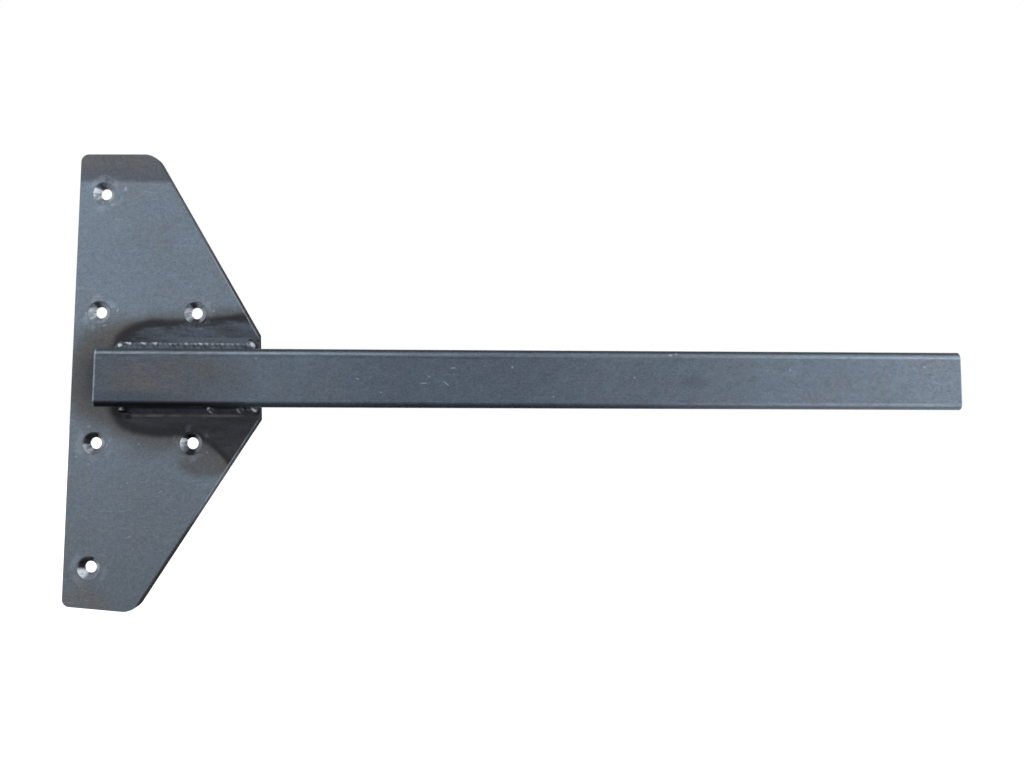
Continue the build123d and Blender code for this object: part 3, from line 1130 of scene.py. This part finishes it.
puddles += lumps(
    ((bead_start + 0.0046, -0.0105, 0.0213, 0.0032), (bead_end - 0.0042, -0.0105, 0.0215, 0.0034))
)
upper_bead = lay_bead(
    "upper_bead",
    puddles,
    [
        ((0.0, seat_y + 0.0002, 0.0), (0.0, 1.0, 0.0)),
        ((0.0, 0.0, 0.0162), (0.0, 0.0, -1.0)),
        ((bead_start, 0.0, 0.0), (-1.0, 0.0, 0.0)),
        ((bead_end, 0.0, 0.0), (1.0, 0.0, 0.0)),
    ],
    0.0003,
)

bead_start, bead_end = -0.0176, 0.07763
lower_sink, lower_radius = puddle_size(0.0058)
puddles = []
count = 17
step = (bead_end - bead_start - 0.008) / (count - 1)
for number in range(count):
    radius = lower_radius * (1 + random.uniform(-0.012, 0.012))
    if number in (0, count - 1):
        radius *= 0.94
    middle = (bead_start + 0.004 + number * step, seat_y + lower_sink, -seat_z + lower_sink)
    puddles.append((middle, (0.0, math.radians(-24.0), 0.0), (0.0085, radius, radius)))
puddles += lumps(
    (
        (bead_start + 0.0036, -0.0092, -0.0212, 0.0026),
        (bead_end - 0.0112, -0.0082, -0.0202, 0.0038),
        (bead_end - 0.0315, -0.0082, -0.0202, 0.0038),
        (bead_end - 0.0042, -0.0088, -0.0206, 0.0038),
    ),
)
lower_bead = lay_bead(
    "lower_bead",
    puddles,
    [
        ((0.0, seat_y + 0.0002, 0.0), (0.0, 1.0, 0.0)),
        ((0.0, 0.0, -0.0162), (0.0, 0.0, 1.0)),
        ((bead_start, 0.0, 0.0), (-1.0, 0.0, 0.0)),
        ((bead_end, 0.0, 0.0), (1.0, 0.0, 0.0)),
    ],
    0.0003,
)

end_sink, end_radius = puddle_size(0.0028)
puddles = []
for number in range(8):
    middle = (tube_start + end_sink, seat_y + end_sink, -0.0123 + number * 0.0246 / 7)
    radius = end_radius * (1 + random.uniform(-0.03, 0.03))
    puddles.append((middle, (math.radians(20.0), 0.0, 0.0), (radius, radius, 0.0035)))
end_bead = lay_bead(
    "end_bead",
    puddles,
    [
        ((0.0, seat_y + 0.0002, 0.0), (0.0, 1.0, 0.0)),
        ((tube_start + 0.0002, 0.0, 0.0), (1.0, 0.0, 0.0)),
        ((0.0, 0.0, 0.01455), (0.0, 0.0, 1.0)),
        ((0.0, 0.0, -0.01455), (0.0, 0.0, -1.0)),
    ],
    0.00025,
)

# Each bead is dark with oxide. Painted highlights stand for the glints on its crests and
# spots, painted shade darkens the lower one under the arm and at its start, and a pale line of
# scale lies along the toe of the lower one.
for bead, node_name, base_tone, has_crest_highlights, highlight_spots, toe_share in (
    (
        upper_bead,
        "upper_weld",
        paint(78, 84, 94),
        1.0,
        (
            (-0.0154, 0.0217, 0.0018, 0.0018, 0.0),
            (-0.0116, 0.0239, 0.0030, 0.0014, 14.0),
            (-0.0014, 0.0239, 0.0024, 0.0013, 0.0),
            (0.0061, 0.0242, 0.0026, 0.0013, 0.0),
            (0.0736, 0.0228, 0.0032, 0.0013, 62.0),
            (0.0755, 0.0222, 0.0014, 0.0015, 0.0),
        ),
        0.0,
    ),
    (
        lower_bead,
        "lower_weld",
        paint(66, 69, 76),
        0.0,
        (
            (-0.0136, -0.0207, 0.0013, 0.0017, 0.0),
            (-0.0107, -0.0251, 0.0015, 0.0012, 30.0),
            (0.0450, -0.0204, 0.0012, 0.0024, 30.0, 0.55),
            (0.0462, -0.0232, 0.0012, 0.0026, -28.0, 0.45),
            (0.0650, -0.0225, 0.0030, 0.0012, 52.0, 0.5),
            (0.0752, -0.0212, 0.0028, 0.0013, 50.0),
        ),
        1.0,
    ),
    (end_bead, "end_weld", paint(66, 70, 78), 0.0, ((-0.0212, 0.0, 0.002, 0.002, 0.0),), 0.0),
):
    (bead_metal,) = give_materials(bead, bead.name + "_metal")
    tree, shader, spot, along, deep, up = open_material(bead_metal)
    glass = cloud(tree, spot, 260.0, 3.0, 0.6)
    fine = cloud(tree, spot, 1200.0, 3.0, 0.6)
    bead_colour = blend(tree, fade(tree, glass, 0.3, 0.7), base_tone, paint(98, 106, 117))
    bead_colour = blend(
        tree, fade(tree, glass, 0.5, 0.3, 0.0, 0.5), bead_colour, paint(52, 56, 63)
    )
    if toe_share:
        bead_colour = blend(tree, 0.75, bead_colour, base_tone)
        # Painted shade, with soot, where the bead's top meets the arm.
        bead_colour = blend(tree, fade(tree, up, -0.0218, -0.0196), bead_colour, paint(16, 17, 20))
        # Painted shade over the bead's first few millimetres.
        bead_colour = blend(
            tree, fade(tree, along, -0.006, -0.0105, 0.0, 0.85), bead_colour, paint(14, 15, 18)
        )
        toe = times(
            tree,
            fade(tree, up, -0.0236, -0.0243),
            fade(tree, along, -0.009, 0.0),
            fade(tree, glass, 0.3, 0.55, 0.3, 0.9),
        )
        bead_colour = blend(tree, toe, bead_colour, paint(104, 101, 97))
    if has_crest_highlights:
        # The painted crest highlights lean from upper left to lower right, one for each ripple.
        crest_highlights = dabs(
            tree,
            spot,
            -0.0103,
            0.006,
            [
                (x + 0.0003, 0.0238, 0.0032, 0.0014, 30.0, glint_strength)
                for x, glint_strength in ripples
                if glint_strength
            ],
        )
        bead_colour = blend(tree, crest_highlights, bead_colour, paint(205, 214, 222))
    # Painted highlights at listed spots on each bead.
    bright = dabs(tree, spot, -0.009, 1.0, highlight_spots)
    bead_colour = blend(tree, times(tree, bright, 0.9), bead_colour, paint(205, 213, 220))
    if has_crest_highlights:
        bright = reckon(tree, "MAXIMUM", bright, crest_highlights)
    roughness = fade(tree, glass, 0.3, 0.7, 0.28, 0.4)
    metallic = reckon(tree, "MULTIPLY_ADD", bright, -0.3, 0.35)
    coat(tree, shader, bead_colour, roughness, metallic, fine, 0.1, 0.0002)
    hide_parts(node_name)
    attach(bead, "root")
